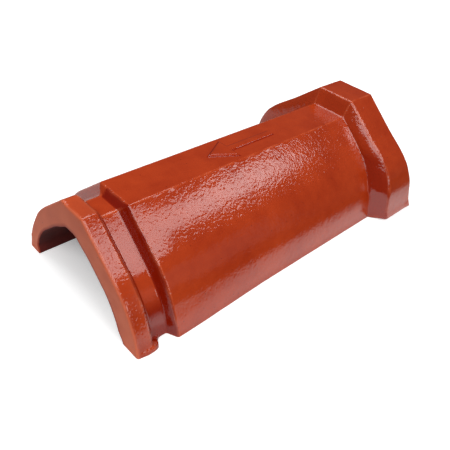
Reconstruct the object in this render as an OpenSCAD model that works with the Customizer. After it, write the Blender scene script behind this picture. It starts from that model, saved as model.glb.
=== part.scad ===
// Interlocking clay ridge tile, lying on its two feet with its axis along X.
// The spigot end is at -X and the collar end, which laps the next tile, at +X.
// The origin is on the ground at the middle of the tile. Sizes are in millimetres.

/* [Overall] */
// Length from the spigot end to the collar end
length = 370; // [280:1:460]
// Thickness of the clay, square to the surface
wall = 13; // [9:0.5:18]

/* [Body section] */
// Width of the flat crown
crown_w = 40.5; // [30:0.5:60]
// Height of the crown above the ground
body_h = 93.5; // [84:0.5:112]
// Width across the feet
body_w = 176.5; // [160:0.5:200]
// Fall of both slopes below the level, in degrees
slope_angle = 40.5; // [36:0.5:44]
// Steepness of both skirts above the level, in degrees
skirt_angle = 79.5; // [72:0.5:86]
// Outside radius of the shoulder between slope and skirt
shoulder_r = 92; // [50:1:120]
// Outside radius along both edges of the crown
crown_edge_r = 3; // [1:0.5:8]
// Inside radius along both edges under the crown
inside_edge_r = 12; // [2:0.5:16]

/* [Spigot] */
// Width of the rim's flat crown
rim_crown_w = 30.5; // [28:0.5:48]
// Height of the rim's crown above the ground
rim_h = 94; // [84:0.5:110]
// Width of the rim across the feet
rim_w = 177; // [164:1:200]
// Length of the rim along the axis
rim_len = 16; // [9:0.5:24]
// Run of the slanted face behind the rim
rim_run = 2.5; // [0.5:0.5:6]
// Depth of the groove behind the rim
groove_depth = 7.5; // [3:0.5:12]
// Length of the spigot, from its end to the foot of the step
spigot_len = 34.5; // [28:0.5:39]
// Run of the slanted step from the groove up to the body
step_run = 5; // [3:0.5:12]

/* [Collar] */
// Length of the collar's parallel part
collar_len = 39; // [34:0.5:60]
// Run of the slanted face from the body up to the collar
collar_run = 7; // [4:0.5:20]
// How much further each of the collar's skirts stands out, as extra thickness
collar_flare = 2; // [0:0.5:8]
// Outside radius of the collar's shoulder
collar_shoulder_r = 45; // [30:1:110]
// Room all round between a collar and the rim inside it
lap_clearance = 4.5; // [1:0.5:6]
// Gap left between a collar's end and the step of the next tile
joint_gap = 3; // [1:0.5:8]
// Run of the slanted seat inside the collar
seat_run = 2.5; // [0.5:0.5:8]

/* [Edges] */
// Radius of the outer edges across the tile, at its ends and steps
edge_r = 2.5; // [0.5:0.5:4]
// Radius of the hollow at the foot of each step
root_r = 3; // [0.5:0.5:6]

/* [Hidden] */

// Segments of a rounded edge and of a shoulder
edge_steps = 3;
shoulder_steps = 8;
// Largest share of a skirt's height that its shoulder may take up
shoulder_share = 0.95;
// How far the hollow runs past the ground and both ends
cut = 5;

// A profile is [half crown, height, half width, shoulder radius, crown edge radius],
// and growth holds its change for each millimetre that it grows square to its sides.
growth = [tan(slope_angle / 2), 1, 1 / sin(skirt_angle), 1, 0];
body_out = [crown_w / 2, body_h, body_w / 2, shoulder_r, crown_edge_r];
rim_out = [rim_crown_w / 2, rim_h, rim_w / 2, shoulder_r, crown_edge_r];
groove_out = rim_out - groove_depth * growth;
spigot_in = inside(groove_out - wall * growth);
body_in = inside(body_out - wall * growth);
collar_in = inside(rim_out + lap_clearance * growth);
collar_out = flared(collar_in + wall * growth);

// Places along the axis, counted from the spigot end
body_start = spigot_len + step_run;
collar_root = length - collar_len - collar_run;
socket_start = length - (spigot_len - joint_gap);

// A profile with the crown edges of the hollow, and one with the collar's flare and shoulder
function inside(p) = [p[0], p[1], p[2], p[3], inside_edge_r];
function flared(p) = [p[0], p[1], p[2] + collar_flare, collar_shoulder_r, crown_edge_r];

// Point of a rounded edge of radius r about a centre, a degrees from the upright
function on_arc(centre, r, a) = centre + r * [sin(a), cos(a)];

// Height at which the lines of a profile's slope and skirt meet
function meet_z(p) =
    (p[1] - (p[2] - p[0]) * tan(slope_angle)) / (1 - tan(slope_angle) / tan(skirt_angle));

// Radius of a profile's shoulder, held back where its arc would reach the ground
function shoulder_radius(p) =
    min(p[3], shoulder_share * meet_z(p) / (sin(skirt_angle) * tan((skirt_angle - slope_angle) / 2)));

// Centre of a profile's shoulder, tangent to its slope and its skirt
function shoulder_centre(p) =
    let (z = meet_z(p), r = shoulder_radius(p), tangent = r * tan((skirt_angle - slope_angle) / 2))
    [p[2] - z / tan(skirt_angle), z]
        + tangent * [-cos(slope_angle), sin(slope_angle)]
        - r * [sin(slope_angle), cos(slope_angle)];

// Half of a profile, from the crown to a foot that runs below the ground
function half_outline(p, below) =
    let (crown_centre = [p[0] - p[4] * tan(slope_angle / 2), p[1] - p[4]],
         fall = skirt_angle - slope_angle)
    concat(
        [for (i = [0:edge_steps])
            on_arc(crown_centre, p[4], slope_angle * i / edge_steps)],
        [for (i = [0:shoulder_steps])
            on_arc(shoulder_centre(p), shoulder_radius(p), slope_angle + fall * i / shoulder_steps)],
        [[p[2] + below / tan(skirt_angle), -below]]);

// Whole profile, over the crown from the foot at +Y to the foot at -Y
function outline(p, below) =
    let (half = half_outline(p, below), last = len(half) - 1)
    concat([for (i = [last:-1:0]) half[i]], [for (q = half) [-q[0], q[1]]]);

// Stations [x, profile] round the edge of an end face at x, from which a form starts
function start_edge(x, p) =
    [for (i = [0:edge_steps])
        let (a = 90 * i / edge_steps)
        [x + edge_r * (1 - cos(a)), p - edge_r * (1 - sin(a)) * growth]];

// The same stations turned round, for places that are mirrored along the axis
function turned(stations) =
    [for (i = [len(stations) - 1:-1:0]) [-stations[i][0], stations[i][1]]];

// Stations of a slanted step from profile p at x up to profile q at x + run:
// a hollow at its foot, then the slanted face, then a rounded edge
function step_up(x, run, p, q) =
    let (rise = norm([q[1] - p[1], q[2] - p[2]]) / sqrt(2),
         steepness = atan2(rise, run),
         root_x = x - root_r * tan(steepness / 2),
         edge_x = x + run + edge_r * tan(steepness / 2),
         angles = [for (i = [0:edge_steps]) steepness * i / edge_steps])
    concat(
        [for (a = angles)
            [root_x + root_r * sin(a), p + (q - p) * root_r * (1 - cos(a)) / rise]],
        [for (i = [edge_steps:-1:0])
            [edge_x - edge_r * sin(angles[i]), q + (p - q) * edge_r * (1 - cos(angles[i])) / rise]]);

// Solid through the profiles of all stations, in the order of the axis
module loft(stations, below = 0) {
    n = len(outline(stations[0][1], below));
    last = (len(stations) - 1) * n;
    points = [for (s = stations) for (q = outline(s[1], below)) [s[0], q[0], q[1]]];
    sides = [for (i = [0:len(stations) - 2]) for (j = [0:n - 1])
        let (a = i * n + j, b = i * n + (j + 1) % n)
        each [[a, a + n, b + n], [a, b + n, b]]];
    start_cap = [for (j = [0:n - 1]) j];
    end_cap = [for (j = [n - 1:-1:0]) last + j];
    polyhedron(points, concat([start_cap], sides, [end_cap]));
}

// Outside form: rim, groove, body and collar
module outer_form() {
    loft(concat(
        start_edge(0, rim_out),
        turned(step_up(-rim_len - rim_run, rim_run, groove_out, rim_out)),
        step_up(spigot_len, step_run, groove_out, body_out),
        step_up(collar_root, collar_run, body_out, collar_out),
        turned(start_edge(-length, collar_out))));
}

// Hollow underneath: narrower in the spigot, wider in the socket for the next rim
module hollow() {
    loft([
        [-cut, spigot_in],
        [body_start, spigot_in],
        [body_start + wall, body_in],
        [socket_start - seat_run, body_in],
        [socket_start, collar_in],
        [length + cut, collar_in]], cut);
}

module ridge_tile() {
    color("sienna")
    translate([-length / 2, 0, 0])
    difference() {
        outer_form();
        hollow();
    }
}

ridge_tile();
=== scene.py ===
"""Dresses the packed clay ridge tile: a glazed skin over the CAD form, and a plain white stage."""
import math

import bpy
import numpy as np
from mathutils import Euler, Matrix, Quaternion, Vector


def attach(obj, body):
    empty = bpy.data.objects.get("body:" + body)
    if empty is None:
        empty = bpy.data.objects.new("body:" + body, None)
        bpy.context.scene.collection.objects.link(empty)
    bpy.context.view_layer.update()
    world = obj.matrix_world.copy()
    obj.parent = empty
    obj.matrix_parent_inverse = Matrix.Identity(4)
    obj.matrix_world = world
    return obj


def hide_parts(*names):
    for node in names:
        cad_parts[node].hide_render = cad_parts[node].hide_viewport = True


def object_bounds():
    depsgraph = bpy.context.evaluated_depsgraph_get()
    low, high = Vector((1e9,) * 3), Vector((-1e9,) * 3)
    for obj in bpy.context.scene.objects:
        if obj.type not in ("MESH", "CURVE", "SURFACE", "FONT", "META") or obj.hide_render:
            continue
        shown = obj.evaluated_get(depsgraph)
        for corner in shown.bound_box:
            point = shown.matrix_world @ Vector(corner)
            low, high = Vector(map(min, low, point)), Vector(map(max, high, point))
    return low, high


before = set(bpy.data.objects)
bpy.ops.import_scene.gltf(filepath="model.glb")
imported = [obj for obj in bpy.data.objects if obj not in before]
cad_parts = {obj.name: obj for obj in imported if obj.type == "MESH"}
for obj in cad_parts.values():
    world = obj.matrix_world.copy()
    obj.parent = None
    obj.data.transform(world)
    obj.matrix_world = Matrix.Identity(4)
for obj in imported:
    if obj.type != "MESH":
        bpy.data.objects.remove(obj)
CAD_LOW, CAD_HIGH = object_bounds()

bl_info = {
    "name": "Clay ridge tile",
    "version": (1, 0, 0),
    "blender": (4, 5, 0),
    "location": "View3D > Sidebar > Ridge tile",
    "description": "Builds the glazed skin of a pressed clay ridge tile and its white stage",
    "category": "Object",
}

MM = 0.001
NODE = "ridge_tile"
BODY = "root"


def linear(hex_colour):
    """Linear RGB of an sRGB hex colour, by the sRGB curve on each channel."""
    srgb = np.array([int(hex_colour[i:i + 2], 16) for i in (1, 3, 5)]) / 255.0
    low = srgb / 12.92
    high = ((srgb + 0.055) / 1.055) ** 2.4
    return tuple(float(v) for v in np.where(srgb <= 0.04045, low, high))


def length(name, text, mm):
    """A size in metres, given in millimetres."""
    return bpy.props.FloatProperty(name=name, description=text, default=mm * MM, min=0.0, unit="LENGTH")


def angle(name, text, degrees):
    """An angle in radians, given in degrees."""
    return bpy.props.FloatProperty(
        name=name, description=text, default=math.radians(degrees), subtype="ANGLE")


def level(name, text, brightness):
    """The brightness of a light or of the room."""
    return bpy.props.FloatProperty(name=name, description=text, default=brightness, min=0.0)


def colour(name, text, hex_colour):
    """A colour, given as an sRGB hex value and kept linear."""
    return bpy.props.FloatVectorProperty(
        name=name, description=text, default=linear(hex_colour), size=3, min=0.0, max=1.0, subtype="COLOR")


class RidgeTileForm(bpy.types.PropertyGroup):
    """Sizes of the tile, as its section and its places along the axis."""
    overall: length("Length", "Length from the spigot end to the collar end", (CAD_HIGH.x - CAD_LOW.x) / MM)
    wall: length("Wall", "Thickness of the clay", 13)
    crown_w: length("Crown width", "Width of the body's flat crown", 40.5)
    body_h: length("Body height", "Height of the body's crown", 93.5)
    body_w: length("Body width", "Width of the body across its feet", 176.5)
    slope: angle("Slope", "Fall of both slopes below the level", 40.5)
    skirt: angle("Skirt", "Steepness of both skirts", 79.5)
    shoulder_r: length("Shoulder radius", "Radius between slope and skirt", 92)
    crown_edge_r: length("Crown edge radius", "Radius along both edges of the crown", 2.6)
    rim_edge_r: length("Rim edge radius", "Radius along both edges of the rim's crown", 5)
    inside_edge_r: length("Inside edge radius", "Radius along both edges under the crown", 12)
    rim_crown_w: length("Rim crown width", "Width of the rim's flat crown", 30.5)
    rim_h: length("Rim height", "Height of the rim's crown", 94)
    rim_w: length("Rim width", "Width of the rim across its feet", 177)
    rim_len: length("Rim length", "Length of the rim along the axis", 16)
    rim_run: length("Rim run", "Run of the slanted face behind the rim", 2.5)
    groove_depth: length("Groove depth", "Depth of the groove behind the rim", 7.5)
    spigot_len: length("Spigot length", "From the spigot end to the foot of the step", 34.5)
    step_run: length("Step run", "Run of the slanted step from the groove up to the body", 5)
    collar_len: length("Collar length", "Length of the collar's parallel part", 39)
    collar_run: length("Collar run", "Run of the slanted face up to the collar", 7)
    collar_flare: length("Collar flare", "How much further each of the collar's skirts stands out", 2)
    collar_shoulder_r: length("Collar shoulder radius", "Radius of the collar's shoulder", 45)
    lap_clearance: length("Lap clearance", "Room between a collar and the rim inside it", 4.5)
    joint_gap: length("Joint gap", "Gap between a collar's end and the next tile's step", 3)
    seat_run: length("Seat run", "Run of the slanted seat inside the collar", 2.5)
    edge_r: length("Edge radius", "Radius of the outer edges at steps", 2.8)
    rim_back_r: length("Rim back radius", "Radius of the edge at the back of the rim", 4.8)
    root_r: length("Root radius", "Radius of the hollow at the foot of a step", 3)
    end_edge_r: length("End edge radius", "Radius round both end faces", 2.2)
    mouth_edge_r: length("Mouth edge radius", "Radius round both mouths of the hollow", 0.5)
    foot_r: length("Foot radius", "Radius along the bottom edges", 0.8)
    belly: length("Belly", "How far the slopes swell between crown and shoulder", 0.6)
    collar_belly: length("Collar belly", "How far the collar's slopes swell above its shoulders", 2.4)
    collar_melt: length("Collar melt", "How far the collar's slanted face bulges where the glaze ran", 1.6)
    collar_lift: length("Collar lift", "How far the outer edge of the collar's feet is off the ground", 2.5)
    collar_lean: length("Collar lean", "How much longer the collar is at its feet", 7.0)
    collar_tuck: length("Collar tuck", "How far the collar's near skirt is pressed in", 2.4)
    collar_pad: length("Collar pad", "How far the collar's near foot stands out towards the spigot", 5.5)
    far_wear: length("Far wear", "How far the end of the spigot's far leg is rounded off", 4.0)
    core_shift: length("Core shift", "How far the hollow lies off centre at the spigot's mouth", 4.0)
    arrow_len: length("Arrow length", "Length of the raised laying arrow on the crown", 84)
    arrow_h: length("Arrow height", "Height of the raised laying arrow", 1.6)


class RidgeTileFinish(bpy.types.PropertyGroup):
    """Colours of the glaze and of the bare clay; some also carry painted shade and painted highlights."""
    glaze: colour("Glaze", "Main colour of the glaze", "#B43D17")
    # Painted shade as well as glaze pooling: this colour also darkens step faces and the groove's foot
    glaze_pooled_and_shade: colour("Glaze, thick", "Colour where the glaze has pooled", "#861803")
    # Also a painted highlight: edges and the rim's crown take this paler colour
    glaze_thin_and_highlight: colour("Glaze, thin", "Colour where the glaze has drawn back from edges", "#DE6D46")
    # Painted shade as well as the clay's own colour: both bare clay colours are darkened for the shade in the
    # hollow
    clay: colour("Bare clay", "Main colour of the unglazed clay", "#6C1509")
    clay_dark: colour("Bare clay, dark", "Colour of its darker clouds", "#500C05")
    pin_hole: colour("Pin hole", "Colour in the glaze's pin holes", "#5C160A")


class RidgeTileStage(bpy.types.PropertyGroup):
    """Floor, lights and camera."""
    floor: colour("Floor", "Colour of the floor", "#F2F2F2")
    window_level: level("Window", "Brightness of the long soft box beside the tile", 4.4)
    overhead_level: level("Overhead", "Brightness of the soft box above and behind the tile", 3.65)
    side_level: level("Side", "Brightness of the soft box that lights the near slope", 4.15)
    front_level: level("Front", "Brightness of the soft box in front of the spigot", 3.85)
    low_level: level("Low", "Brightness of the low soft box beside the tile", 3.2)
    veil_level: level("Veil", "Brightness of the pale wall that the lower slope mirrors", 0.22)
    room_level: level("Room", "Brightness of the dim room around", 0.08)
    lens: bpy.props.FloatProperty(
        name="Lens", description="Focal length in millimetres", default=42.3, subtype="DISTANCE_CAMERA")


def smoothstep(a, b, v):
    """0 below a, 1 above b, and 3t^2 - 2t^3 between them."""
    t = np.clip((v - a) / (b - a), 0.0, 1.0)
    return t * t * (3.0 - 2.0 * t)


def fade(a, b, v):
    """1 below a, 0 above b, and a smooth step down between them."""
    return 1 - smoothstep(a, b, v)


def hump(v, place, width):
    """A bell curve of height 1 at a place, e to the minus square of the distance in widths."""
    return np.exp(-((v - place) / width) ** 2)


def waves(u, v, sizes, seed):
    """Sum of crossing sine waves over u and v, three for each wavelength in sizes, about -1 to 1 high."""
    rng = np.random.default_rng(seed)
    total = np.zeros(np.broadcast(u, v).shape)
    for size in sizes:
        for turn in rng.uniform(0, 2 * math.pi, 3):
            total = total + np.sin(
                2 * math.pi / size * (u * math.cos(turn) + v * math.sin(turn)) + rng.uniform(0, 2 * math.pi))
    return total / (1.8 * len(sizes))


class Sections:
    """The tile's profiles, each [half crown, height, half width, shoulder radius, crown edge radius]."""

    def __init__(self, form):
        self.form = form
        self.growth = np.array([math.tan(form.slope / 2), 1.0, 1.0 / math.sin(form.skirt), 1.0, 0.0])
        grow = self.growth
        self.body = np.array(
            [form.crown_w / 2, form.body_h, form.body_w / 2, form.shoulder_r, form.crown_edge_r])
        self.rim = np.array(
            [form.rim_crown_w / 2, form.rim_h, form.rim_w / 2, form.shoulder_r, form.rim_edge_r])
        self.groove = self.rim - form.groove_depth * grow
        self.collar = self.rim + (form.lap_clearance + form.wall) * grow
        self.collar[2:] = self.collar[2] + form.collar_flare, form.collar_shoulder_r, form.crown_edge_r
        inner = np.array([1.0, 1.0, 1.0, 1.0, 0.0])
        under = np.array([0.0, 0.0, 0.0, 0.0, form.inside_edge_r])
        self.spigot_in = (self.groove - form.wall * grow) * inner + under
        self.body_in = (self.body - form.wall * grow) * inner + under
        self.collar_in = (self.rim + form.lap_clearance * grow) * inner + under

    def end_edge(self, x, profile, steps=5):
        """Stations round the edge of an end face at x: a quarter circle from the face out to the side."""
        radius = self.form.end_edge_r
        a = np.linspace(0, math.pi / 2, steps + 1)
        return x + radius * (1 - np.cos(a)), profile - radius * (1 - np.sin(a))[:, None] * self.growth

    def step_up(self, x, run, low, high, edge, steps=6):
        """Stations of a slanted step from profile low at x to high at x + run: a circular hollow at
        its foot, the slanted face, then an edge of the given radius, all tangent to each other."""
        rise = np.linalg.norm(high[1:3] - low[1:3]) / math.sqrt(2)
        steep = math.atan2(rise, run)
        a = np.linspace(0, steep, steps + 1)
        root = self.form.root_r
        xs = np.concatenate([
            x - root * math.tan(steep / 2) + root * np.sin(a),
            x + run + edge * math.tan(steep / 2) - edge * np.sin(a[::-1])])
        share = np.concatenate([root * (1 - np.cos(a)) / rise, 1 - edge * (1 - np.cos(a[::-1])) / rise])
        return xs, low + share[:, None] * (high - low)


def turned(stations):
    """The same stations mirrored along the axis, in the order of the axis."""
    xs, profiles = stations
    return -xs[::-1], profiles[::-1]


def joined(*runs):
    """Several runs of stations as one."""
    return np.concatenate([r[0] for r in runs]), np.concatenate([r[1] for r in runs])


def along(stations):
    """Distance walked through the stations, counting the way along the axis and up or down."""
    xs, profiles = stations
    return np.concatenate([[0.0], np.cumsum(np.abs(np.diff(xs)) + np.abs(np.diff(profiles[:, 1])))])


def resampled(stations, walk):
    """The stations at the given walked distances, by straight lines between those that are there."""
    own = along(stations)
    xs, profiles = stations
    columns = [np.interp(walk, own, profiles[:, k]) for k in range(profiles.shape[1])]
    return np.interp(walk, own, xs), np.stack(columns, 1)


def filled(stations, at_x, clear):
    """The stations with more added at the places at_x, left out where one is closer than clear."""
    own, xs = along(stations), stations[0]
    far = np.abs(at_x[:, None] - xs[None, :]).min(1) > clear
    return resampled(stations, np.union1d(own, np.interp(at_x[far], xs, own)))


def body_start(form):
    """Where the body starts at the top of the step, and the hollow below it starts to widen."""
    return form.spigot_len + form.step_run


def socket_start(form):
    """Where the socket for the next tile's spigot starts."""
    return form.overall - (form.spigot_len - form.joint_gap)


def collar_top(form):
    """Where the slanted face ends and the collar's parallel part starts."""
    return form.overall - form.collar_len


def collar_root(form):
    """Where the slanted face up to the collar starts."""
    return collar_top(form) - form.collar_run


# Stations in the flare and the seat, gaps between other stations, and how close two may come
FLARE_STATIONS, SEAT_STATIONS = 8, 7
BODY_GAP, ARROW_GAP = 3.1 * MM, 1.0 * MM
HOLLOW_CLEAR, STATION_CLEAR = 0.3 * MM, 0.5 * MM
# How far the closer stations reach from the middle of the arrow, as a share of its length
ARROW_REACH = 0.53


def outer_stations(sec, form):
    """The outside from end to end: rim, groove, step, body, slanted face and collar, with more stations
    where the hollow changes, along the arrow and evenly between."""
    base = joined(
        sec.end_edge(0.0, sec.rim),
        turned(sec.step_up(-form.rim_len - form.rim_run, form.rim_run, sec.groove, sec.rim, form.rim_back_r)),
        sec.step_up(form.spigot_len, form.step_run, sec.groove, sec.body, form.edge_r),
        sec.step_up(collar_root(form), form.collar_run, sec.body, sec.collar, form.edge_r),
        turned(sec.end_edge(-form.overall, sec.collar)))
    flare = body_start(form) + form.wall * np.linspace(0, 1, FLARE_STATIONS)
    seat = socket_start(form) - form.seat_run * np.linspace(0, 1, SEAT_STATIONS)
    base = filled(base, np.union1d(flare, seat), HOLLOW_CLEAR)
    middle, reach = form.overall / 2, ARROW_REACH * form.arrow_len
    plain = np.arange(0.0, form.overall, BODY_GAP)
    fine = np.arange(middle - reach, middle + reach, ARROW_GAP)
    outside = plain[np.abs(plain - middle) > reach]
    return filled(base, np.union1d(outside, fine), STATION_CLEAR)


def inner_profiles(sec, form, xs):
    """The hollow's profiles at the given stations: spigot, a flare behind the step, body, seat and socket.
    Each change is a smooth step, and a quarter circle rounds both mouths."""
    flare = smoothstep(body_start(form), body_start(form) + form.wall, xs)[:, None]
    seat = smoothstep(socket_start(form) - form.seat_run, socket_start(form), xs)[:, None]
    profiles = sec.spigot_in + flare * (sec.body_in - sec.spigot_in) + seat * (sec.collar_in - sec.body_in)
    near_end = np.clip(1 - np.minimum(xs, form.overall - xs) / form.mouth_edge_r, 0, 1)[:, None]
    return profiles + form.mouth_edge_r * (1 - np.sqrt(1 - near_end ** 2)) * sec.growth


# Points on each part of half a section, from the middle of the crown to the foot
CROWN, EDGE, SLOPE, SHOULDER, SKIRT, FOOT = 22, 6, 20, 36, 6, 5
# Largest share of a skirt's height that its shoulder may take, and how its points crowd towards the skirt
SHOULDER_SHARE, SHOULDER_CROWD = 0.95, 1.25


def parts(n, last=False):
    """Shares of a line in n equal parts, with its last point or without it."""
    return np.linspace(0, 1, n + 1)[None, :] if last else np.arange(n)[None, :] / n


def half_section(profiles, form, belly):
    """Half of each profile from the middle of the crown to the foot, as arrays of distance from the
    middle, height and lean of the surface from the level. It is a flat crown, an arc, a slope, a
    large arc, a straight skirt, and a small arc that turns under to the ground. The slope swells by the
    belly in a half sine wave, which runs on into the large arc as a shallow dip; no belly is a hollow."""
    inside = belly is None
    belly = 0.0 if inside else belly[:, None]
    c, h, w, r, e = (profiles[:, k, None] for k in range(5))
    slope, skirt = form.slope, form.skirt
    bend = math.tan((skirt - slope) / 2)
    meet = (h - (w - c) * math.tan(slope)) / (1 - math.tan(slope) / math.tan(skirt))
    r = np.minimum(r, SHOULDER_SHARE * meet / (math.sin(skirt) * bend))
    tangent = r * bend
    centre_y = w - meet / math.tan(skirt) - tangent * math.cos(slope) - r * math.sin(slope)
    centre_z = meet + tangent * math.sin(slope) - r * math.cos(slope)

    edge_y, edge_z = c - e * math.tan(slope / 2), h - e
    k = parts(CROWN)
    crown = edge_y * k, h + 0 * k, 0 * k + 0 * h
    a = slope * parts(EDGE)
    edge = edge_y + e * np.sin(a), edge_z + e * np.cos(a), a + 0 * h

    k = parts(SLOPE)
    y0, z0 = edge_y + e * math.sin(slope), edge_z + e * math.cos(slope)
    y1, z1 = centre_y + r * math.sin(slope), centre_z + r * math.cos(slope)
    swell = belly * np.sin(math.pi * k)
    slant = (y0 + (y1 - y0) * k + swell * math.sin(slope), z0 + (z1 - z0) * k + swell * math.cos(slope),
             slope + 0 * k + 0 * h)
    k = 1 - (1 - parts(SHOULDER)) ** SHOULDER_CROWD
    a = slope + (skirt - slope) * k
    dip = belly * r * (skirt - slope) / np.hypot(y1 - y0, z1 - z0) * np.sin(math.pi * k) * (1 - k)
    shoulder = centre_y + (r - dip) * np.sin(a), centre_z + (r - dip) * np.cos(a), a + 0 * h

    turn = skirt if inside else math.pi - skirt
    reach = form.foot_r * math.tan(turn / 2)
    side = 1.0 if inside else -1.0
    start_y, start_z = w - reach * math.cos(skirt), reach * math.sin(skirt) + 0 * h
    k = parts(SKIRT)
    y2, z2 = centre_y + r * math.sin(skirt), centre_z + r * math.cos(skirt)
    straight = y2 + (start_y - y2) * k, z2 + (start_z - z2) * k, skirt + 0 * k + 0 * h
    round_y = start_y + side * form.foot_r * math.sin(skirt)
    round_z = start_z + side * form.foot_r * math.cos(skirt)
    a = skirt - side * turn * parts(FOOT, True)
    foot = round_y - side * form.foot_r * np.sin(a), round_z - side * form.foot_r * np.cos(a), a + 0 * h
    return [np.concatenate(rows, 1) for rows in zip(crown, edge, slant, shoulder, straight, foot)]


def whole_section(half):
    """Both halves of each profile, from the foot at -Y over the crown to the foot at +Y."""
    y, z, lean = half
    return (np.concatenate([-y[:, :0:-1], y], 1), np.concatenate([z[:, :0:-1], z], 1),
            np.concatenate([-lean[:, :0:-1], lean], 1))


def section_girth(y, z):
    """Distance walked round each section from its first foot."""
    return np.cumsum(np.hypot(np.diff(y, axis=1, prepend=y[:, :1]), np.diff(z, axis=1, prepend=z[:, :1])), 1)


# Arrow: length and half angle of its head, half of its bar's width, and how far the bar runs into the head
ARROW_HEAD, ARROW_LEAN = 26 * MM, math.radians(29)
ARROW_BAR, ARROW_OVERLAP = 3.6 * MM, 5 * MM
# Where its bank rises, and where the painted shade round its foot starts and ends, by the way into its
# outline
ARROW_BANK = -0.6 * MM, 0.8 * MM
ARROW_SHADE_IN, ARROW_SHADE_OUT = (-2.0 * MM, -0.8 * MM), (-0.4 * MM, 0.6 * MM)


def laying_arrow(x, y, form):
    """Height of the raised arrow on the crown, and the share of each point in the narrow band round its foot
    that is painted darker as shade. It is flat on top, with banks that ease up over 1.4 mm. Its outline is a
    long bar joined to a triangle whose tip is towards the spigot; inside is how far a point lies within that
    outline."""
    middle, half = form.overall / 2, form.arrow_len / 2
    tip, base = middle - half, middle - half + ARROW_HEAD
    head = np.minimum(base - x, (x - tip) * math.sin(ARROW_LEAN) - np.abs(y) * math.cos(ARROW_LEAN))
    bar = np.minimum(middle + half - x, np.minimum(x - base + ARROW_OVERLAP, ARROW_BAR - np.abs(y)))
    inside = np.maximum(head, bar)
    height = form.arrow_h * smoothstep(*ARROW_BANK, inside)
    return height, smoothstep(*ARROW_SHADE_IN, inside) * fade(*ARROW_SHADE_OUT, inside)


# From here on a pair gives the two places between which something comes or goes: X pairs lie along the
# axis from the spigot end unless it says otherwise, Y pairs across it, and Z pairs are heights

# Waves of the clay and the glaze, as wavelengths in metres and a seed, and how high those of the clay are
CLAY_WAVES, CLAY_WAVE_H = ((0.045, 0.07, 0.11), 3), 0.03 * MM
SLOW_WAVES, SLOW_WAVE_H = ((0.16, 0.27), 5), 0.10 * MM
EDGE_WAVES, EDGE_WAVE_H = ((0.009, 0.014, 0.023), 8), 0.08 * MM
HAND_WAVES, HAND_WAVE_H = ((0.03, 0.06, 0.13), 11), 0.35 * MM
EDGE_THIN_AND_HIGHLIGHT_WAVES, END_WAVES = ((0.012, 0.03), 31), ((0.021, 0.047), 41)

# Lean and height within which a point counts as on the flat crown, the lean also for the rim's crown
LEVEL_LEAN, LEVEL_H, RIM_LEVEL_LEAN = 0.01, 0.01 * MM, 0.1
# Behind the step the slopes turn from flat to swollen; up to there a ramp makes them still flatter
SWELL_X = 2 * MM, 30 * MM
RAMP_H, RAMP_RIM_SHIFT = 0.65 * MM, 11 * MM
RAMP_Y, RAMP_SHARES = (16 * MM, 58 * MM, 66 * MM, 82 * MM), (0, 1, 1, 0)
# Middle and width of the swelling of the collar's slopes, and the heights at which its face is melted
COLLAR_BELLY_Z = 62 * MM, 15 * MM
MELT_FROM_Z, MELT_TO_Z = (24 * MM, 36 * MM), (84 * MM, 100 * MM)
# Upward sweep of the near slope before the collar
SWEEP_H, SWEEP_LEN = 0.8 * MM, 14 * MM
SWEEP_FROM_Z, SWEEP_TO_Z = (60 * MM, 68 * MM), (86 * MM, 91 * MM)
# Feet keep their shape below this, and what lifts them is gone above it
FOOT_Z = 0.0, 14 * MM

# Glaze pooling with painted shade: the steepness that counts as a face, the zone of the ends that doesn't,
# and shares by place; less on the far side and more at the groove's foot are painted shade
STEEP, END_ZONE = (0.1, 0.5), 3 * MM
STEP_THICK_AND_SHADE, COLLAR_THICK_AND_SHADE, COLLAR_THICK_AND_SHADE_LOSS, FAR_THICK_AND_SHADE, GROOVE_SHADE = 1.0, 0.8, 0.5, 0.2, 0.9
THICK_AND_SHADE_SIDE_Y, COLLAR_THICK_AND_SHADE_Z, GROOVE_SHADE_Z = 10 * MM, (60 * MM, 75 * MM), (22 * MM, 42 * MM)
# Pits: share all over, loss in the groove, gain low on the rim and on edges
PITS, PITS_GROOVE, PITS_RIM, PITS_EDGE = 0.3, 0.2, 0.7, 0.5
PITS_RIM_Z = 35 * MM, 62 * MM
# Orange peel: share at the spigot, gain along the body, gain round the collar's face
PEEL, PEEL_BODY, PEEL_COLLAR = 0.35, 0.65, 0.8
PEEL_BODY_X, PEEL_COLLAR_Z = (50 * MM, 140 * MM), (45 * MM, 62 * MM)
PEEL_ROOT_X, PEEL_TOP_X = (-8 * MM, 0.0), (0.0, 5 * MM)
# Paler glaze on edges, thinner there and partly a painted highlight, a painted highlight on the rim's crown,
# and thinner glaze on end faces, which are also less glossy
EDGE_THIN_AND_HIGHLIGHT, RIM_PAINTED_HIGHLIGHT, THIN_END, THIN_END_WAVE = 0.35, 0.22, 0.88, 0.16
END_GLOSS, END_X = 0.3, (0.2 * MM, 2.2 * MM)


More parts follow.
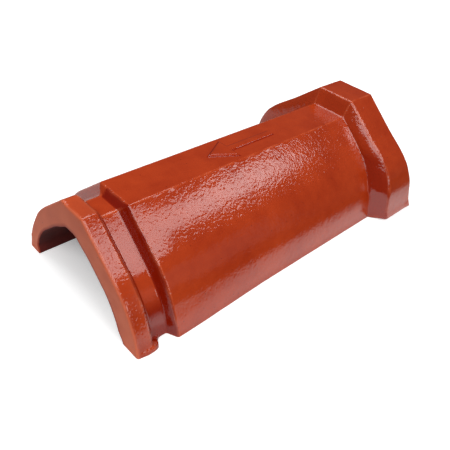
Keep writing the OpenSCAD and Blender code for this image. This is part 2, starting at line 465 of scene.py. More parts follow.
def outer_surface(sec, form, xs, profiles):
    """The outside as a grid over stations along the axis and points round the section, moved along its own
    lean by the arrow, the warps of the firing and a slow waviness of the clay, and then by the pressing
    flash. With it come the shares of thinner glaze with painted highlights, of glaze pooling with painted
    shade, pits, orange peel and gloss at each point."""
    flat = fade(*SWELL_X, xs - body_start(form))
    y, z, lean = whole_section(half_section(profiles, form, form.belly * (1 - flat)))
    x = np.repeat(xs[:, None], y.shape[1], 1)
    girth = section_girth(y, z)
    edge = edge_share(xs, profiles, lean, girth)
    on_crown = (np.abs(lean) < LEVEL_LEAN) & (np.abs(profiles[:, 1:2] - form.body_h) < LEVEL_H)
    on_rim = fade(form.rim_len, form.rim_len + form.rim_run, x)
    spigot = fade(form.spigot_len, body_start(form), x)
    collar = np.clip((profiles[:, 2:3] - sec.body[2]) / (sec.collar[2] - sec.body[2]), 0, 1)

    arrow, arrow_foot_shade = laying_arrow(x, y, form)
    raise_by = np.where(on_crown, arrow, 0.0)
    raise_by += form.collar_belly * collar * hump(z, *COLLAR_BELLY_Z)
    raise_by += RAMP_H * flat[:, None] * np.interp(np.abs(y) + RAMP_RIM_SHIFT * on_rim, RAMP_Y, RAMP_SHARES)
    past_root = x - collar_root(form)
    sweep = np.clip((past_root + SWEEP_LEN) / SWEEP_LEN, 0, 1) ** 2 * (past_root < 0) * (y < 0)
    raise_by += SWEEP_H * sweep * smoothstep(*SWEEP_FROM_Z, z) * fade(*SWEEP_TO_Z, z)
    above = smoothstep(*FOOT_Z, z)
    raise_by += CLAY_WAVE_H * above * waves(x, girth, *CLAY_WAVES)
    raise_by += EDGE_WAVE_H * above * edge * waves(x, girth, *EDGE_WAVES)
    raise_by -= SLOW_WAVE_H * above * (1 + waves(x, girth, *SLOW_WAVES)) / 2
    y = y + raise_by * np.sin(lean)
    z = z + raise_by * np.cos(lean)
    melted = smoothstep(*MELT_FROM_Z, z) * fade(*MELT_TO_Z, z) * (x < collar_top(form))
    x = x - form.collar_melt * melted * np.sin(math.pi * collar)
    x, y, z = with_flash(x, y, z, form)

    climb = np.gradient(profiles[:, 1])
    steep = np.abs(climb) / np.hypot(np.gradient(xs), climb)
    ends = np.minimum(xs, form.overall - xs) < END_ZONE
    face = np.where(ends, 0.0, smoothstep(*STEEP, steep))[:, None]
    # Painted shade mixed with glaze pooling: steep faces darken, the far side much less, and the groove
    # towards its foot
    on_collar = COLLAR_THICK_AND_SHADE - COLLAR_THICK_AND_SHADE_LOSS * smoothstep(*COLLAR_THICK_AND_SHADE_Z, z)
    thick_and_shaded = np.where(x < form.overall / 2, STEP_THICK_AND_SHADE, on_collar)
    groove = smoothstep(form.rim_len, form.rim_len + form.rim_run, x) * spigot
    pooled_glaze_and_shade = np.maximum(face * np.where(y < THICK_AND_SHADE_SIDE_Y, thick_and_shaded, FAR_THICK_AND_SHADE),
                      GROOVE_SHADE * groove * fade(*GROOVE_SHADE_Z, z))
    # Painted shade, in the colour of pooling glaze, in a band round the arrow's foot
    pooled_glaze_and_shade = np.maximum(pooled_glaze_and_shade, np.where(on_crown, arrow_foot_shade, 0.0))
    pits = PITS - PITS_GROOVE * groove + PITS_RIM * on_rim * fade(*PITS_RIM_Z, z) + PITS_EDGE * edge
    round_collar = smoothstep(*PEEL_ROOT_X, x - collar_root(form)) * fade(*PEEL_TOP_X, x - collar_top(form))
    peel = PEEL + PEEL_BODY * smoothstep(*PEEL_BODY_X, x)
    peel = peel + PEEL_COLLAR * round_collar * smoothstep(*PEEL_COLLAR_Z, z)
    at_end = fade(*END_X, x)
    # Painted highlight along edges and on the rim's crown, on top of the glaze thinning at edges and end
    # faces
    thin_glaze_and_highlight = EDGE_THIN_AND_HIGHLIGHT * edge * (1 + waves(x, girth, *EDGE_THIN_AND_HIGHLIGHT_WAVES)) / 2
    thin_glaze_and_highlight = thin_glaze_and_highlight + RIM_PAINTED_HIGHLIGHT * on_rim * (np.abs(lean) < RIM_LEVEL_LEAN)
    thin_glaze_and_highlight = thin_glaze_and_highlight + (THIN_END - thin_glaze_and_highlight) * at_end
    marks = {"thin_glaze_and_highlight": thin_glaze_and_highlight, "pooled_glaze_and_shade": pooled_glaze_and_shade, "pits": pits, "peel": peel, "gloss": 1 - (1 - END_GLOSS) * at_end}
    return np.stack([x - form.overall / 2, y, z], -1), marks


# Radius at which an edge counts in full, and the shortest way that a turn is measured over
EDGE_LIKE, SHORTEST = 6 * MM, 1e-6


def edge_share(xs, profiles, lean, girth):
    """How far each point lies on a rounded outer edge, 0 to 1: the larger of the turn round the section
    and the turn along the axis, each per length, against a 6 mm radius."""
    round_turn = np.gradient(lean, axis=1) / np.maximum(np.gradient(girth, axis=1), SHORTEST)
    climb = np.unwrap(np.arctan2(np.gradient(profiles[:, 1]), np.gradient(xs)))
    walk = np.cumsum(np.hypot(np.diff(xs, prepend=xs[0]), np.diff(profiles[:, 1], prepend=profiles[0, 1])))
    along_turn = -np.gradient(climb) / np.maximum(np.gradient(walk), SHORTEST)
    sharp = np.maximum(round_turn, along_turn[:, None])
    return smoothstep(0.0, 1.0, sharp * EDGE_LIKE)


# Pad on the collar's near foot: how far it starts before the root and ends past the top, and its shares
PAD_BEFORE, PAD_AFTER, PAD_SHARES = 10 * MM, 8 * MM, (0, 1, 0.4, 0)
PAD_Z = 30 * MM, 62 * MM
# Height up to which the collar is longer, and heights over which its tuck goes
LEAN_H, TUCK_Z = 46 * MM, (36 * MM, 78 * MM)


def collar_run_out(x, y, z, form):
    """How far points near the collar move along the axis: the collar gets longer towards its feet, in
    proportion to the way from its front edge, and the near foot's front stands out towards the spigot."""
    near = (y < 0).astype(float)
    root, top = collar_root(form), collar_top(form)
    pad = near * np.interp(z, PAD_Z, (1, 0))
    pad = pad * np.interp(x, (root - PAD_BEFORE, root, top, top + PAD_AFTER), PAD_SHARES)
    longer = form.collar_lean * (1 - np.clip(z / LEAN_H, 0, 1))
    longer = longer + form.collar_tuck * near * fade(*TUCK_Z, z)
    return np.clip((x - top) / form.collar_len, 0, 1) * longer - form.collar_pad * pad


# Spread of the body's feet, on both sides and more at the near one, and how far it runs over the steps
SPREAD, SPREAD_NEAR, SPREAD_LEAD, SPREAD_TAIL = 0.7 * MM, 2.2 * MM, 1 * MM, 4 * MM
SPREAD_X, SPREAD_Z = (45 * MM, 160 * MM), (0.0, 26 * MM)
# Lip squeezed out at the rim's foot: its top and waves, where it ends behind the rim, how far it stands out
LIP_Z, LIP_WAVES, LIP_WAVE_H = (4.2 * MM, 6.0 * MM), ((0.008, 0.017), 21), 1.0 * MM
LIP_END_X, LIP_NEAR_X = (1 * MM, 4 * MM), (2 * MM, 10 * MM)
LIP_OUT, LIP_OUT_NEAR = 0.4 * MM, 1.4 * MM
# The same lip's run backwards into the groove
LIP_BACK, LIP_BACK_NEAR = 0.8 * MM, 3.6 * MM
LIP_BACK_FROM_X, LIP_BACK_TO_X = (11 * MM, 16 * MM), (20 * MM, 33 * MM)
# Wear of the spigot's far leg, and the lip along the collar's foot
WEAR_X, WEAR_Z = (0.0, 10 * MM), (34 * MM, 72 * MM)
COLLAR_LIP, COLLAR_LIP_Z = 0.7 * MM, (4.5 * MM, 6 * MM)
# Burrs, each as its height and its middle and width two ways: past the collar's end, far leg, rim's crown
COLLAR_BURR, COLLAR_BURR_X, COLLAR_BURR_Z = 1.2 * MM, (6 * MM, 5 * MM), (5 * MM, 3 * MM)
FAR_BURR, FAR_BURR_X, FAR_BURR_Z = 1.6 * MM, (4 * MM, 4 * MM), (15 * MM, 2.5 * MM)
CROWN_BURR, CROWN_BURR_X, CROWN_BURR_Y = 1.0 * MM, (1 * MM, 2.5 * MM), (13 * MM, 2.5 * MM)
CROWN_BURR_FROM_Z = 80 * MM, 88 * MM
# Uneven bottom edge
RAGGED_H, RAGGED_WAVES, RAGGED_Z = 0.35 * MM, ((0.013, 0.027, 0.06), 9), (0.0, 9 * MM)


def with_flash(x, y, z, form):
    """Moves the outside as the press and the firing leave it: feet that spread a little, most at the spigot,
    a narrow lip squeezed out behind the rim's foot, a worn far leg, a collar lifted, run out and tucked in at
    its feet, a few burrs, and a chipped, uneven bottom edge. Nothing goes below the ground."""
    near = (y < 0).astype(float)
    side = np.sign(y)
    root, top = collar_root(form), collar_top(form)
    body = smoothstep(form.spigot_len - SPREAD_LEAD, body_start(form), x) * fade(root - SPREAD_TAIL, root, x)
    spread = SPREAD + SPREAD_NEAR * near * fade(*SPREAD_X, x)
    y = y + side * body * spread * fade(*SPREAD_Z, z)

    rim = fade(*LIP_END_X, x - form.rim_len - form.rim_run)
    lip = fade(*LIP_Z, z + LIP_WAVE_H * waves(x, y, *LIP_WAVES))
    y = y + side * rim * lip * (LIP_OUT + LIP_OUT_NEAR * near * smoothstep(*LIP_NEAR_X, x))
    back = smoothstep(*LIP_BACK_FROM_X, x) * fade(*LIP_BACK_TO_X, x)
    x = x + back * lip * (LIP_BACK + LIP_BACK_NEAR * near)
    y = y - side * form.far_wear * (1 - near) * fade(*WEAR_X, x) * fade(*WEAR_Z, z)

    collar = smoothstep(root, top, x)
    z = z + form.collar_lift * collar * fade(*FOOT_Z, z)
    x = x + collar_run_out(x, y, z, form)
    y = y - side * form.collar_tuck * near * collar * fade(*TUCK_Z, z)
    y = y + side * COLLAR_LIP * collar * fade(*COLLAR_LIP_Z, z)

    burr = COLLAR_BURR * near * hump(x - form.overall, *COLLAR_BURR_X) * hump(z, *COLLAR_BURR_Z)
    far_burr = FAR_BURR * (1 - near) * hump(x, *FAR_BURR_X) * hump(z, *FAR_BURR_Z)
    y = y + side * (burr + far_burr)
    crown_burr = CROWN_BURR * hump(x, *CROWN_BURR_X) * hump(y, *CROWN_BURR_Y)
    z = z + crown_burr * smoothstep(*CROWN_BURR_FROM_Z, z)
    ragged = RAGGED_H * np.clip(waves(x, 0 * x, *RAGGED_WAVES), 0, 1)
    z = z + ragged * fade(*RAGGED_Z, z)
    return x, y, np.maximum(z, 0.0)


# The core at the spigot's mouth: how many spigots in it is centred again, and how it lies aside and lower
CORE_SPIGOTS, CORE_LOWER = 3, 0.8
CORE_ASIDE_Z, CORE_LOWER_Z, HAND_Z = (0.0, 11 * MM), (55 * MM, 72 * MM), (0.0, 12 * MM)
# Share of the collar's lift that the hollow's foot takes part in
HOLLOW_LIFT = 0.5


def inner_surface(sec, form, xs):
    """The hollow as a grid that matches the outside's, with the slight waves of hand-smoothed clay. At the
    spigot's mouth it lies to one side and a little lower, because the core was off centre there, and in the
    collar it follows the outside's longer, lifted feet."""
    y, z, lean = whole_section(half_section(inner_profiles(sec, form, xs), form, None))
    x = np.repeat(xs[:, None], y.shape[1], 1)
    move = HAND_WAVE_H * smoothstep(*HAND_Z, z) * waves(x, section_girth(y, z), *HAND_WAVES)
    mouth = form.core_shift * fade(form.spigot_len, CORE_SPIGOTS * form.spigot_len, x)
    aside = mouth * smoothstep(*CORE_ASIDE_Z, z)
    lower = CORE_LOWER * mouth * smoothstep(*CORE_LOWER_Z, z)
    collar = smoothstep(collar_root(form), collar_top(form), x)
    lift = HOLLOW_LIFT * form.collar_lift * collar * fade(*FOOT_Z, z)
    x = x + collar_run_out(x, y, z, form)
    y = y + move * np.sin(lean) + aside
    z = z + move * np.cos(lean) - lower + lift
    return np.stack([x - form.overall / 2, y, z], -1)


def ruled(a, b, rows):
    """Straight lines from each point of row a to the same point of row b, in equal parts."""
    k = np.linspace(0, 1, rows)[None, :, None]
    return a[:, None, :] * (1 - k) + b[:, None, :] * k


# Points are one where they agree to a ten-thousandth of a millimetre
WELD_PER_METRE = 1e7
# Edges at which the faces turn by more than this stay sharp
SHARP_ANGLE = math.radians(45)


def welded(patches):
    """One mesh from several grids: their quads in a row, with points in the same place made one.
    Each patch is its grid and whether its quads are turned round."""
    points, quads, base = [], [], 0
    for grid, flip in patches:
        n, m = grid.shape[:2]
        index = base + np.arange(n * m).reshape(n, m)
        quad = np.stack([index[:-1, :-1], index[1:, :-1], index[1:, 1:], index[:-1, 1:]], -1).reshape(-1, 4)
        quads.append(quad[:, ::-1] if flip else quad)
        points.append(grid.reshape(-1, 3))
        base += n * m
    points, quads = np.concatenate(points), np.concatenate(quads)
    places = np.round(points * WELD_PER_METRE).astype(np.int64)
    _, first, same = np.unique(places, axis=0, return_index=True, return_inverse=True)
    return points[first], same.reshape(-1)[quads], first


def make_object(name, points, quads, attributes):
    """A mesh object at the origin, with smooth faces, sharp only where faces turn by more than 45 degrees,
    and one number a point for each attribute."""
    mesh = bpy.data.meshes.new(name)
    mesh.vertices.add(len(points))
    mesh.vertices.foreach_set("co", points.astype(np.float32).ravel())
    mesh.loops.add(quads.size)
    mesh.loops.foreach_set("vertex_index", quads.astype(np.int32).ravel())
    mesh.polygons.add(len(quads))
    mesh.polygons.foreach_set("loop_start", np.arange(0, quads.size, 4, dtype=np.int32))
    mesh.polygons.foreach_set("use_smooth", np.ones(len(quads), bool))
    mesh.update(calc_edges=True)
    if mesh.validate(verbose=False):
        raise RuntimeError(f"{name}: the mesh has faces that are not valid")
    mesh.set_sharp_from_angle(angle=SHARP_ANGLE)
    for key, values in attributes.items():
        mesh.attributes.new(key, "FLOAT", "POINT").data.foreach_set("value", values.astype(np.float32))
    made = bpy.data.objects.new(name, mesh)
    bpy.context.scene.collection.objects.link(made)
    return made


def empty_tree(holder):
    """The node tree of a material or a world, with nothing in it."""
    holder.use_nodes = True
    holder.node_tree.nodes.clear()
    return holder.node_tree


def add_node(tree, kind, settings=None, links=None):
    """Adds a node, with settings as {name or input: value} and links as {input: output socket}, or a node
    for its first output."""
    made = tree.nodes.new(kind)
    for key, value in (settings or {}).items():
        if isinstance(key, str) and hasattr(made, key):
            setattr(made, key, value)
        else:
            made.inputs[key].default_value = value
    for key, source in (links or {}).items():
        socket = source.outputs[0] if isinstance(source, bpy.types.Node) else source
        tree.links.new(socket, made.inputs[key])
    return made


def per(mm):
    """Scale of a pattern whose real size is given in millimetres."""
    return 1 / (mm * MM)


def glazed_clay(finish):
    """Pressed red clay, glazed by spraying and fired once. The eye sees a wet-looking red-brown coat that
    lies in a faint orange peel, thinner and paler at edges, where a highlight is painted too, paler on the
    rim's crown as a painted highlight, darker on step faces, in the groove and round the arrow from glaze
    pooling and painted shade, with pin holes and broken bubbles, and on the underside the dry, grainy clay
    that the spray did not reach, its colour darkened as painted shade."""
    made = bpy.data.materials.new("sprayed_red_glaze_on_fired_clay")
    tree = empty_tree(made)
    place = {"Vector": add_node(tree, "ShaderNodeTexCoord").outputs["Object"]}
    cover, peel_here, thin_and_highlight_here, pits_here, gloss_here, pooled_and_shade_here = (
        add_node(tree, "ShaderNodeAttribute", {"attribute_name": name}).outputs["Fac"]
        for name in ("glaze", "peel", "thin_glaze_and_highlight", "pits", "gloss", "pooled_glaze_and_shade"))

    # Ragged limit of the sprayed coat, in tongues about 9 mm wide
    tongues = add_node(tree, "ShaderNodeTexNoise", {"Scale": per(9), "Detail": 3.0}, place)
    ragged = add_node(tree, "ShaderNodeMath", {"operation": "MULTIPLY_ADD", 1: 0.9, 2: -0.45}, {0: tongues})
    covered = add_node(tree, "ShaderNodeMath", {"operation": "ADD"}, {0: cover, 1: ragged})
    coat = add_node(tree, "ShaderNodeMapRange", {"From Min": 0.42, "From Max": 0.58},
                    {"Value": covered}).outputs[0]

    # Colour of the glaze: clouds of about 50 mm and blotches of 11 mm where it lies thicker, darker where it
    # pools and where shade is painted, paler where it is thinner and where a highlight is painted
    clouds = add_node(tree, "ShaderNodeTexNoise", {"Scale": per(50), "Detail": 2.0}, place)
    blotches = add_node(tree, "ShaderNodeTexNoise",
                        {"Scale": per(11), "Detail": 4.0, "Roughness": 0.6}, place)
    uneven = add_node(tree, "ShaderNodeMath", {"operation": "MULTIPLY_ADD", 1: 0.6},
                      {0: blotches, 2: clouds})
    cloud = add_node(tree, "ShaderNodeMapRange", {"From Min": 0.6, "From Max": 1.1, "To Max": 0.5},
                     {"Value": uneven})
    thick_and_shaded = add_node(tree, "ShaderNodeMath", {"operation": "MAXIMUM"}, {0: cloud, 1: pooled_and_shade_here})
    pooled_and_shaded = add_node(tree, "ShaderNodeMix",
                      {"data_type": "RGBA", 6: (*finish.glaze, 1), 7: (*finish.glaze_pooled_and_shade, 1)}, {0: thick_and_shaded})
    drawn_and_highlit = add_node(tree, "ShaderNodeMix", {"data_type": "RGBA", 7: (*finish.glaze_thin_and_highlight, 1)},
                     {0: thin_and_highlight_here, 6: pooled_and_shaded.outputs[2]})

    # Pin holes about 0.8 mm across, in about one of ten 8 mm cells
    cells = add_node(tree, "ShaderNodeTexVoronoi", {"Scale": per(8)}, place)
    hole = add_node(tree, "ShaderNodeMapRange",
                    {"From Min": 0.04, "From Max": 0.06, "To Min": 1.0, "To Max": 0.0},
                    {"Value": cells.outputs["Distance"]})
    holed = add_node(tree, "ShaderNodeMix", {"data_type": "RGBA", 7: (*finish.pin_hole, 1)},
                     {0: hole, 6: drawn_and_highlit.outputs[2]})

    # Bare clay: clouds of about 20 mm and sandy grain of about 0.9 mm, in colours darkened as painted shade
    grain = add_node(tree, "ShaderNodeTexNoise", {"Scale": per(0.9), "Detail": 2.0}, place)
    stain = add_node(tree, "ShaderNodeTexNoise", {"Scale": per(20), "Detail": 5.0}, place)
    dusty = add_node(tree, "ShaderNodeMath", {"operation": "MULTIPLY_ADD", 1: 0.35}, {0: grain, 2: stain})
    dust = add_node(tree, "ShaderNodeMapRange", {"From Min": 0.5, "From Max": 0.85}, {"Value": dusty})
    bare = add_node(tree, "ShaderNodeMix",
                    {"data_type": "RGBA", 6: (*finish.clay, 1), 7: (*finish.clay_dark, 1)}, {0: dust})

    # Coat over clay: colour, and roughness from wet-looking glaze to dry clay
    base = add_node(tree, "ShaderNodeMix", {"data_type": "RGBA"},
                    {0: coat, 6: bare.outputs[2], 7: holed.outputs[2]})
    glossy = add_node(tree, "ShaderNodeMath", {"operation": "MULTIPLY"}, {0: coat, 1: gloss_here})
    rough = add_node(tree, "ShaderNodeMapRange", {"To Min": 0.78, "To Max": 0.1}, {"Value": glossy})

    # Orange peel: shallow hollows about 2 mm apart on slower ones of 6 mm, where the spray did not flow out
    peel = add_node(tree, "ShaderNodeTexNoise", {"Scale": per(1.9), "Detail": 1.0, "Roughness": 0.5}, place)
    flow = add_node(tree, "ShaderNodeTexNoise", {"Scale": per(6), "Detail": 1.0}, place)
    both = add_node(tree, "ShaderNodeMath", {"operation": "MULTIPLY_ADD", 1: 2.0}, {0: flow, 2: peel})
    peel_amount = add_node(tree, "ShaderNodeMath", {"operation": "MULTIPLY"}, {0: peel_here, 1: coat})
    skin = add_node(tree, "ShaderNodeBump", {"Distance": 0.1 * MM},
                    {"Strength": peel_amount, "Height": both})

    # Pits about 1.5 mm wide, where bubbles broke in the firing
    froth = add_node(tree, "ShaderNodeTexNoise", {"Scale": per(2.4), "Detail": 0.0}, place)
    broken = add_node(tree, "ShaderNodeMapRange", {"From Min": 0.54, "From Max": 0.8}, {"Value": froth})
    pit_amount = add_node(tree, "ShaderNodeMath", {"operation": "MULTIPLY"}, {0: pits_here, 1: coat})
    pitted = add_node(tree, "ShaderNodeBump", {"Distance": 0.15 * MM, "invert": True},
                      {"Strength": pit_amount, "Height": broken, "Normal": skin})

    # Grit of the bare clay, from the same grain and clouds as its colour
    bare_amount = add_node(tree, "ShaderNodeMath", {"operation": "SUBTRACT", 0: 1.0}, {1: coat})
    grit = add_node(tree, "ShaderNodeBump", {"Distance": 0.4 * MM},
                    {"Strength": bare_amount, "Height": dusty, "Normal": pitted})
    surface = add_node(tree, "ShaderNodeBsdfPrincipled", {"IOR": 1.52, "Metallic": 0.0},
                       {"Base Color": base.outputs[2], "Roughness": rough, "Normal": grit})
    add_node(tree, "ShaderNodeOutputMaterial", {}, {"Surface": surface})
    return made


# Patches of the skin in their order, and points across the feet and the end faces
OUTSIDE, HOLLOW, NEAR_FOOT, FAR_FOOT, SPIGOT_FACE, COLLAR_FACE = range(6)
WALL_POINTS = 7
# Glaze that reaches the feet, how far it runs into the mouths, and how far in those are dull
FOOT_GLAZE, MOUTH_GLAZE, MOUTH_DULL = 0.1, (0.4 * MM, 1.6 * MM), 2 * MM
# Pits and peel on the end faces
PITS_END, PEEL_END = 0.2, 0.6


class RIDGETILE_OT_tile(bpy.types.Operator):
    """Builds the tile's skin over the CAD form, in place of its node"""
    bl_idname = "ridgetile.tile"
    bl_label = "Build the tile"

    def execute(self, context):
        form, finish = context.scene.ridge_tile_form, context.scene.ridge_tile_finish
        sec = Sections(form)
        xs, profiles = outer_stations(sec, form)
        outer, marks = outer_surface(sec, form, xs, profiles)
        inner = inner_surface(sec, form, xs)
        patches = [
            (outer, False),
            (inner, True),
            (ruled(outer[:, 0], inner[:, 0], WALL_POINTS), True),
            (ruled(outer[:, -1], inner[:, -1], WALL_POINTS), False),
            (ruled(outer[0], inner[0], WALL_POINTS), False),
            (ruled(outer[-1], inner[-1], WALL_POINTS), True)]
        points, quads, first = welded(patches)
        counts = [grid.shape[0] * grid.shape[1] for grid, _ in patches]
        kind = np.repeat(np.arange(len(patches)), counts)[first]
        made = make_object("ridge_tile_skin", points, quads, self.glazing(form, points, kind, first, marks))
        made.data.materials.append(glazed_clay(finish))
        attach(made, BODY)
        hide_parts(NODE)
        return {"FINISHED"}

    def glazing(self, form, points, kind, first, marks):
        """What the material reads at each point: how far the glaze covers it, and the marks of the outside,
        with plain values on the other patches."""
        x, y, z = points.T
        half = form.overall / 2
        mouth = np.minimum(x + half, half - x)
        on_face = kind >= SPIGOT_FACE
        on_foot = (kind == NEAR_FOOT) | (kind == FAR_FOOT)
        shares = {
            "glaze": np.where(kind == HOLLOW, fade(*MOUTH_GLAZE, mouth), np.where(on_foot, FOOT_GLAZE, 1.0)),
            "thin_glaze_and_highlight": np.where(on_face, THIN_END + THIN_END_WAVE * waves(y, z, *END_WAVES), 0.0),
            "pooled_glaze_and_shade": np.zeros(len(x)),
            "pits": np.full(len(x), PITS_END),
            "peel": np.full(len(x), PEEL_END),
            "gloss": np.where(on_face | (mouth < MOUTH_DULL), END_GLOSS, 1.0)}
        outside = kind == OUTSIDE
        for key, values in marks.items():
            shares[key][outside] = values.ravel()[first[outside]]
        return shares


# Half of the floor's side, and its points each way
FLOOR_HALF, FLOOR_POINTS = 6.0, 9
# Pool of light that the glaze mirrors: how the floor is squeezed and shifted to measure it, the distances
# between which it ends, how dark it is past them, and its share of the floor's colour
POOL_SQUEEZE, POOL_SHIFT = (0.6, 1.0, 0.0), (-0.006, 0.0, 0.0)
POOL_FROM, POOL_TO, POOL_DARK, POOL_SHARE = 0.14, 0.27, 0.92, 0.85
# What lifts the floor to white for the camera: near and far distance with their strengths, and more outside
LIFT_NEAR, LIFT_FAR, LIFT_LOW, LIFT_HIGH, LIFT_OUTSIDE = 0.5, 2.0, 0.5, 0.8, 0.3
# Where that lift goes under the tile, from its ends and from its feet inwards, and how much of it: a painted
# shadow
UNDER_END, UNDER_END_IN, UNDER_FOOT, UNDER_FOOT_IN, UNDER_LOSS = 0.188, 0.125, 0.09, 0.065, 0.9
# Shine in front of the tile that the skirts mirror, where it starts, and how it stands back by the groove
SHINE, SHINE_FROM_Y, SHINE_FULL_Y = 0.7, -0.08, -0.1
GROOVE_FROM_X, GROOVE_FULL_X, GROOVE_BACK = -0.132, -0.144, 0.02


def white_paper(stage):
    """Matt white paper. The camera sees it evenly lit up to white, with the tile's shadow under it, painted
    darker under the arch. The glaze sees a pool of light, painted into the paper's colour, that fades into
    the dark room from about 0.14 m to 0.27 m in front of the tile, but not behind it, and is brightest along
    the near foot, where a painted shine glows."""
    made = bpy.data.materials.new("matt_white_paper")
    tree = empty_tree(made)
    place = add_node(tree, "ShaderNodeTexCoord").outputs["Object"]
    ray = add_node(tree, "ShaderNodeLightPath").outputs
    squeezed = add_node(tree, "ShaderNodeVectorMath",
                        {"operation": "MULTIPLY_ADD", 1: POOL_SQUEEZE, 2: POOL_SHIFT}, {0: place})
    around = add_node(tree, "ShaderNodeVectorMath", {"operation": "LENGTH"}, {0: squeezed}).outputs["Value"]
    outside = add_node(tree, "ShaderNodeMapRange",
                       {"interpolation_type": "SMOOTHSTEP", "From Min": POOL_FROM, "From Max": POOL_TO},
                       {"Value": around})

    # The pool, with the same white all the way behind the tile
    in_front = add_node(tree, "ShaderNodeVectorMath", {"operation": "MINIMUM", 1: (FLOOR_HALF, 0.0, 0.0)},
                        {0: squeezed})
    away = add_node(tree, "ShaderNodeVectorMath", {"operation": "LENGTH"}, {0: in_front})
    pool = add_node(tree, "ShaderNodeMapRange",
                    {"interpolation_type": "SMOOTHSTEP", "From Min": POOL_FROM, "From Max": POOL_TO,
                     "To Min": 0.0, "To Max": POOL_DARK}, {"Value": away.outputs["Value"]})
    fading = add_node(tree, "ShaderNodeMix",
                      {"data_type": "RGBA", 6: (*(POOL_SHARE * v for v in stage.floor), 1),
                       7: (0.0, 0.0, 0.0, 1)}, {0: pool})
    lit = add_node(tree, "ShaderNodeBsdfDiffuse", {}, {"Color": fading.outputs[2]})

    # The shine along the near foot, set further back by the groove
    near = add_node(tree, "ShaderNodeMath", {"operation": "MULTIPLY_ADD", 1: -SHINE, 2: SHINE},
                    {0: outside})
    across = add_node(tree, "ShaderNodeSeparateXYZ", {}, {0: place})
    shade = add_node(tree, "ShaderNodeMapRange",
                     {"From Min": GROOVE_FROM_X, "From Max": GROOVE_FULL_X, "To Max": GROOVE_BACK},
                     {"Value": across.outputs["X"]})
    clear = add_node(tree, "ShaderNodeMath", {"operation": "ADD"}, {0: across.outputs["Y"], 1: shade})
    beside = add_node(tree, "ShaderNodeMapRange", {"From Min": SHINE_FROM_Y, "From Max": SHINE_FULL_Y},
                      {"Value": clear})
    strip = add_node(tree, "ShaderNodeMath", {"operation": "MULTIPLY"}, {0: near, 1: beside})
    shine = add_node(tree, "ShaderNodeMath", {"operation": "MULTIPLY"}, {0: strip, 1: ray["Is Glossy Ray"]})
    glow = add_node(tree, "ShaderNodeEmission", {}, {"Strength": shine})
    mirrored = add_node(tree, "ShaderNodeAddShader", {}, {0: lit, 1: glow})

    # The lift to white, without most of it under the tile, which paints the shadow there darker
    distant = add_node(tree, "ShaderNodeMapRange",
                       {"From Min": LIFT_NEAR, "From Max": LIFT_FAR, "To Min": LIFT_LOW, "To Max": LIFT_HIGH},
                       {"Value": around})
    far = add_node(tree, "ShaderNodeMath", {"operation": "MULTIPLY_ADD", 1: LIFT_OUTSIDE},
                   {0: outside, 2: distant})
    sides = add_node(tree, "ShaderNodeVectorMath", {"operation": "ABSOLUTE"}, {0: place})
    apart = add_node(tree, "ShaderNodeSeparateXYZ", {}, {0: sides})
    within = add_node(tree, "ShaderNodeMapRange",
                      {"From Min": UNDER_END, "From Max": UNDER_END_IN, "To Max": UNDER_LOSS},
                      {"Value": apart.outputs["X"]})
    between = add_node(tree, "ShaderNodeMapRange", {"From Min": UNDER_FOOT, "From Max": UNDER_FOOT_IN},
                       {"Value": apart.outputs["Y"]})
    under = add_node(tree, "ShaderNodeMath", {"operation": "MULTIPLY"}, {0: within, 1: between})
    dark = add_node(tree, "ShaderNodeMath", {"operation": "MULTIPLY"}, {0: under, 1: far})
    left = add_node(tree, "ShaderNodeMath", {"operation": "SUBTRACT"}, {0: far, 1: dark})
    lift = add_node(tree, "ShaderNodeEmission", {}, {"Strength": left})
    paper = add_node(tree, "ShaderNodeBsdfDiffuse", {"Color": (*stage.floor, 1)})
    seen = add_node(tree, "ShaderNodeAddShader", {}, {0: paper, 1: lift})
    which = add_node(tree, "ShaderNodeMixShader", {}, {0: ray["Is Camera Ray"], 1: mirrored, 2: seen})
    add_node(tree, "ShaderNodeOutputMaterial", {}, {"Surface": which})
    return made


# Soft boxes: place, point that they face, and sides, all in metres
SOFT_BOXES = {
    "overhead": ((0.05, 0.45, 1.15), (0.05, 0.45, 0.0), (1.1, 0.55)),
    "side": ((-0.12, -0.74, 1.02), (-0.05, 0.0, 0.05), (0.6, 0.6)),
    "front": ((-0.86, -0.42, 0.95), (0.0, 0.0, 0.05), (0.8, 0.7)),
    "low": ((0.05, -1.3, 0.42), (0.1, 0.0, 0.05), (0.5, 0.3)),
    "veil": ((0.62, -1.13, 0.41), (0.0, 0.0, 0.05), (0.55, 0.42)),
}
# Window: share of brightness and sides of each pane, rise of their row in degrees, middle, facing and upwards
PANES, PANE_SIDES, PANE_RISE = (0.92, 0.95, 1.25, 1.2), (0.235, 0.2), 4.0
WINDOW_AT, WINDOW_FACES, WINDOW_UP = (0.67, -0.684, 0.958), (0.0, 0.648, -0.878), (0.0, 0.805, 0.594)
# Camera: place, turn in degrees, sensor in millimetres, and nearest distance that it sees
CAMERA_AT, CAMERA_TURN = (-0.34015, -0.30009, 0.34781), (51.624, -6.120, -43.179)
SENSOR_W, CLIP_START = 36.0, 0.01


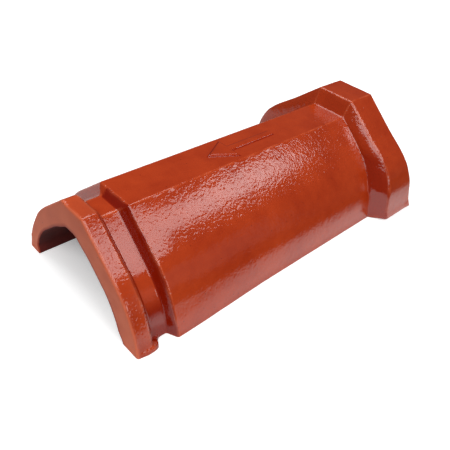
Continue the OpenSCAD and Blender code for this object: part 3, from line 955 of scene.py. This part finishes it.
class RIDGETILE_OT_stage(bpy.types.Operator):
    """Makes the white floor, the dim room, the soft boxes and the camera"""
    bl_idname = "ridgetile.stage"
    bl_label = "Set the stage"

    def execute(self, context):
        stage = context.scene.ridge_tile_stage
        scene = context.scene
        scene.view_settings.view_transform = "Standard"
        self.floor(stage)
        self.room(scene, stage)
        self.window(scene, stage)
        for name, (place, target, sides) in SOFT_BOXES.items():
            self.soft_box(scene, name, place, target, sides, getattr(stage, f"{name}_level"))
        self.camera(scene, stage)
        return {"FINISHED"}

    def floor(self, stage):
        """A flat square floor of paper, far larger than the tile."""
        row = np.linspace(-FLOOR_HALF, FLOOR_HALF, FLOOR_POINTS)
        grid = np.stack(np.meshgrid(row, row, [0.0], indexing="ij"), -1)
        points, quads, _ = welded([(grid[:, :, 0], False)])
        made = make_object("floor", points, quads, {})
        made.data.materials.append(white_paper(stage))

    def room(self, scene, stage):
        """A dim room; the camera itself sees plain white behind the tile."""
        scene.world = bpy.data.worlds.new("white_studio")
        tree = empty_tree(scene.world)
        ray = add_node(tree, "ShaderNodeLightPath").outputs["Is Camera Ray"]
        strength = add_node(tree, "ShaderNodeMix",
                            {"data_type": "FLOAT", 2: stage.room_level, 3: 1.0}, {0: ray})
        back = add_node(tree, "ShaderNodeBackground", {"Color": (1.0, 1.0, 1.0, 1.0)},
                        {"Strength": strength})
        add_node(tree, "ShaderNodeOutputWorld", {}, {"Surface": back})

    def soft_box(self, scene, name, place, target, sides, brightness, tilt=0.0):
        """A flat soft box at a place, facing a target, turned in its own plane by the tilt in degrees. Its
        power is pi times its area times its brightness."""
        lamp = bpy.data.lights.new(name, "AREA")
        lamp.shape = "RECTANGLE"
        lamp.size, lamp.size_y = sides
        lamp.energy = brightness * math.pi * sides[0] * sides[1]
        made = bpy.data.objects.new(name, lamp)
        made.location = place
        facing = (Vector(target) - Vector(place)).to_track_quat("-Z", "Y")
        made.rotation_euler = (facing @ Quaternion((0, 0, 1), math.radians(tilt))).to_euler()
        made.visible_camera = False
        scene.collection.objects.link(made)

    def window(self, scene, stage):
        """A long soft box beside the tile, in a rising row of four panes, brighter towards the collar."""
        rise = math.radians(PANE_RISE)
        row = Vector((math.cos(rise), 0, 0)) + math.sin(rise) * Vector(WINDOW_UP)
        for k, share in enumerate(PANES):
            place = Vector(WINDOW_AT) + (k - (len(PANES) - 1) / 2) * PANE_SIDES[0] * row
            self.soft_box(scene, f"window_{k + 1}", place, place + Vector(WINDOW_FACES), PANE_SIDES,
                          stage.window_level * share, PANE_RISE)

    def camera(self, scene, stage):
        """The photograph's viewpoint: position, turn and focal length."""
        eye = bpy.data.cameras.new("camera")
        eye.lens = stage.lens
        eye.sensor_width = SENSOR_W
        eye.clip_start = CLIP_START
        made = bpy.data.objects.new("camera", eye)
        made.location = CAMERA_AT
        made.rotation_euler = Euler([math.radians(v) for v in CAMERA_TURN])
        scene.collection.objects.link(made)
        scene.camera = made


class RIDGETILE_PT_panel(bpy.types.Panel):
    """The tile's sizes, colours and stage, with a button for each step"""
    bl_idname = "RIDGETILE_PT_panel"
    bl_label = "Ridge tile"
    bl_space_type = "VIEW_3D"
    bl_region_type = "UI"
    bl_category = "Ridge tile"

    def draw(self, context):
        scene = context.scene
        for group in (scene.ridge_tile_form, scene.ridge_tile_finish, scene.ridge_tile_stage):
            box = self.layout.box()
            for key in group.bl_rna.properties.keys():
                if key not in ("rna_type", "name"):
                    box.prop(group, key)
        self.layout.operator(RIDGETILE_OT_tile.bl_idname)
        self.layout.operator(RIDGETILE_OT_stage.bl_idname)


CLASSES = (RidgeTileForm, RidgeTileFinish, RidgeTileStage,
           RIDGETILE_OT_tile, RIDGETILE_OT_stage, RIDGETILE_PT_panel)


def register():
    """Registers the classes and hangs the three groups of values on the scene."""
    for item in CLASSES:
        bpy.utils.register_class(item)
    bpy.types.Scene.ridge_tile_form = bpy.props.PointerProperty(type=RidgeTileForm)
    bpy.types.Scene.ridge_tile_finish = bpy.props.PointerProperty(type=RidgeTileFinish)
    bpy.types.Scene.ridge_tile_stage = bpy.props.PointerProperty(type=RidgeTileStage)


def unregister():
    """Takes the groups and the classes away again."""
    del bpy.types.Scene.ridge_tile_form
    del bpy.types.Scene.ridge_tile_finish
    del bpy.types.Scene.ridge_tile_stage
    for item in reversed(CLASSES):
        bpy.utils.unregister_class(item)


def main():
    register()
    bpy.ops.ridgetile.tile()
    bpy.ops.ridgetile.stage()


if __name__ == "__main__":
    main()
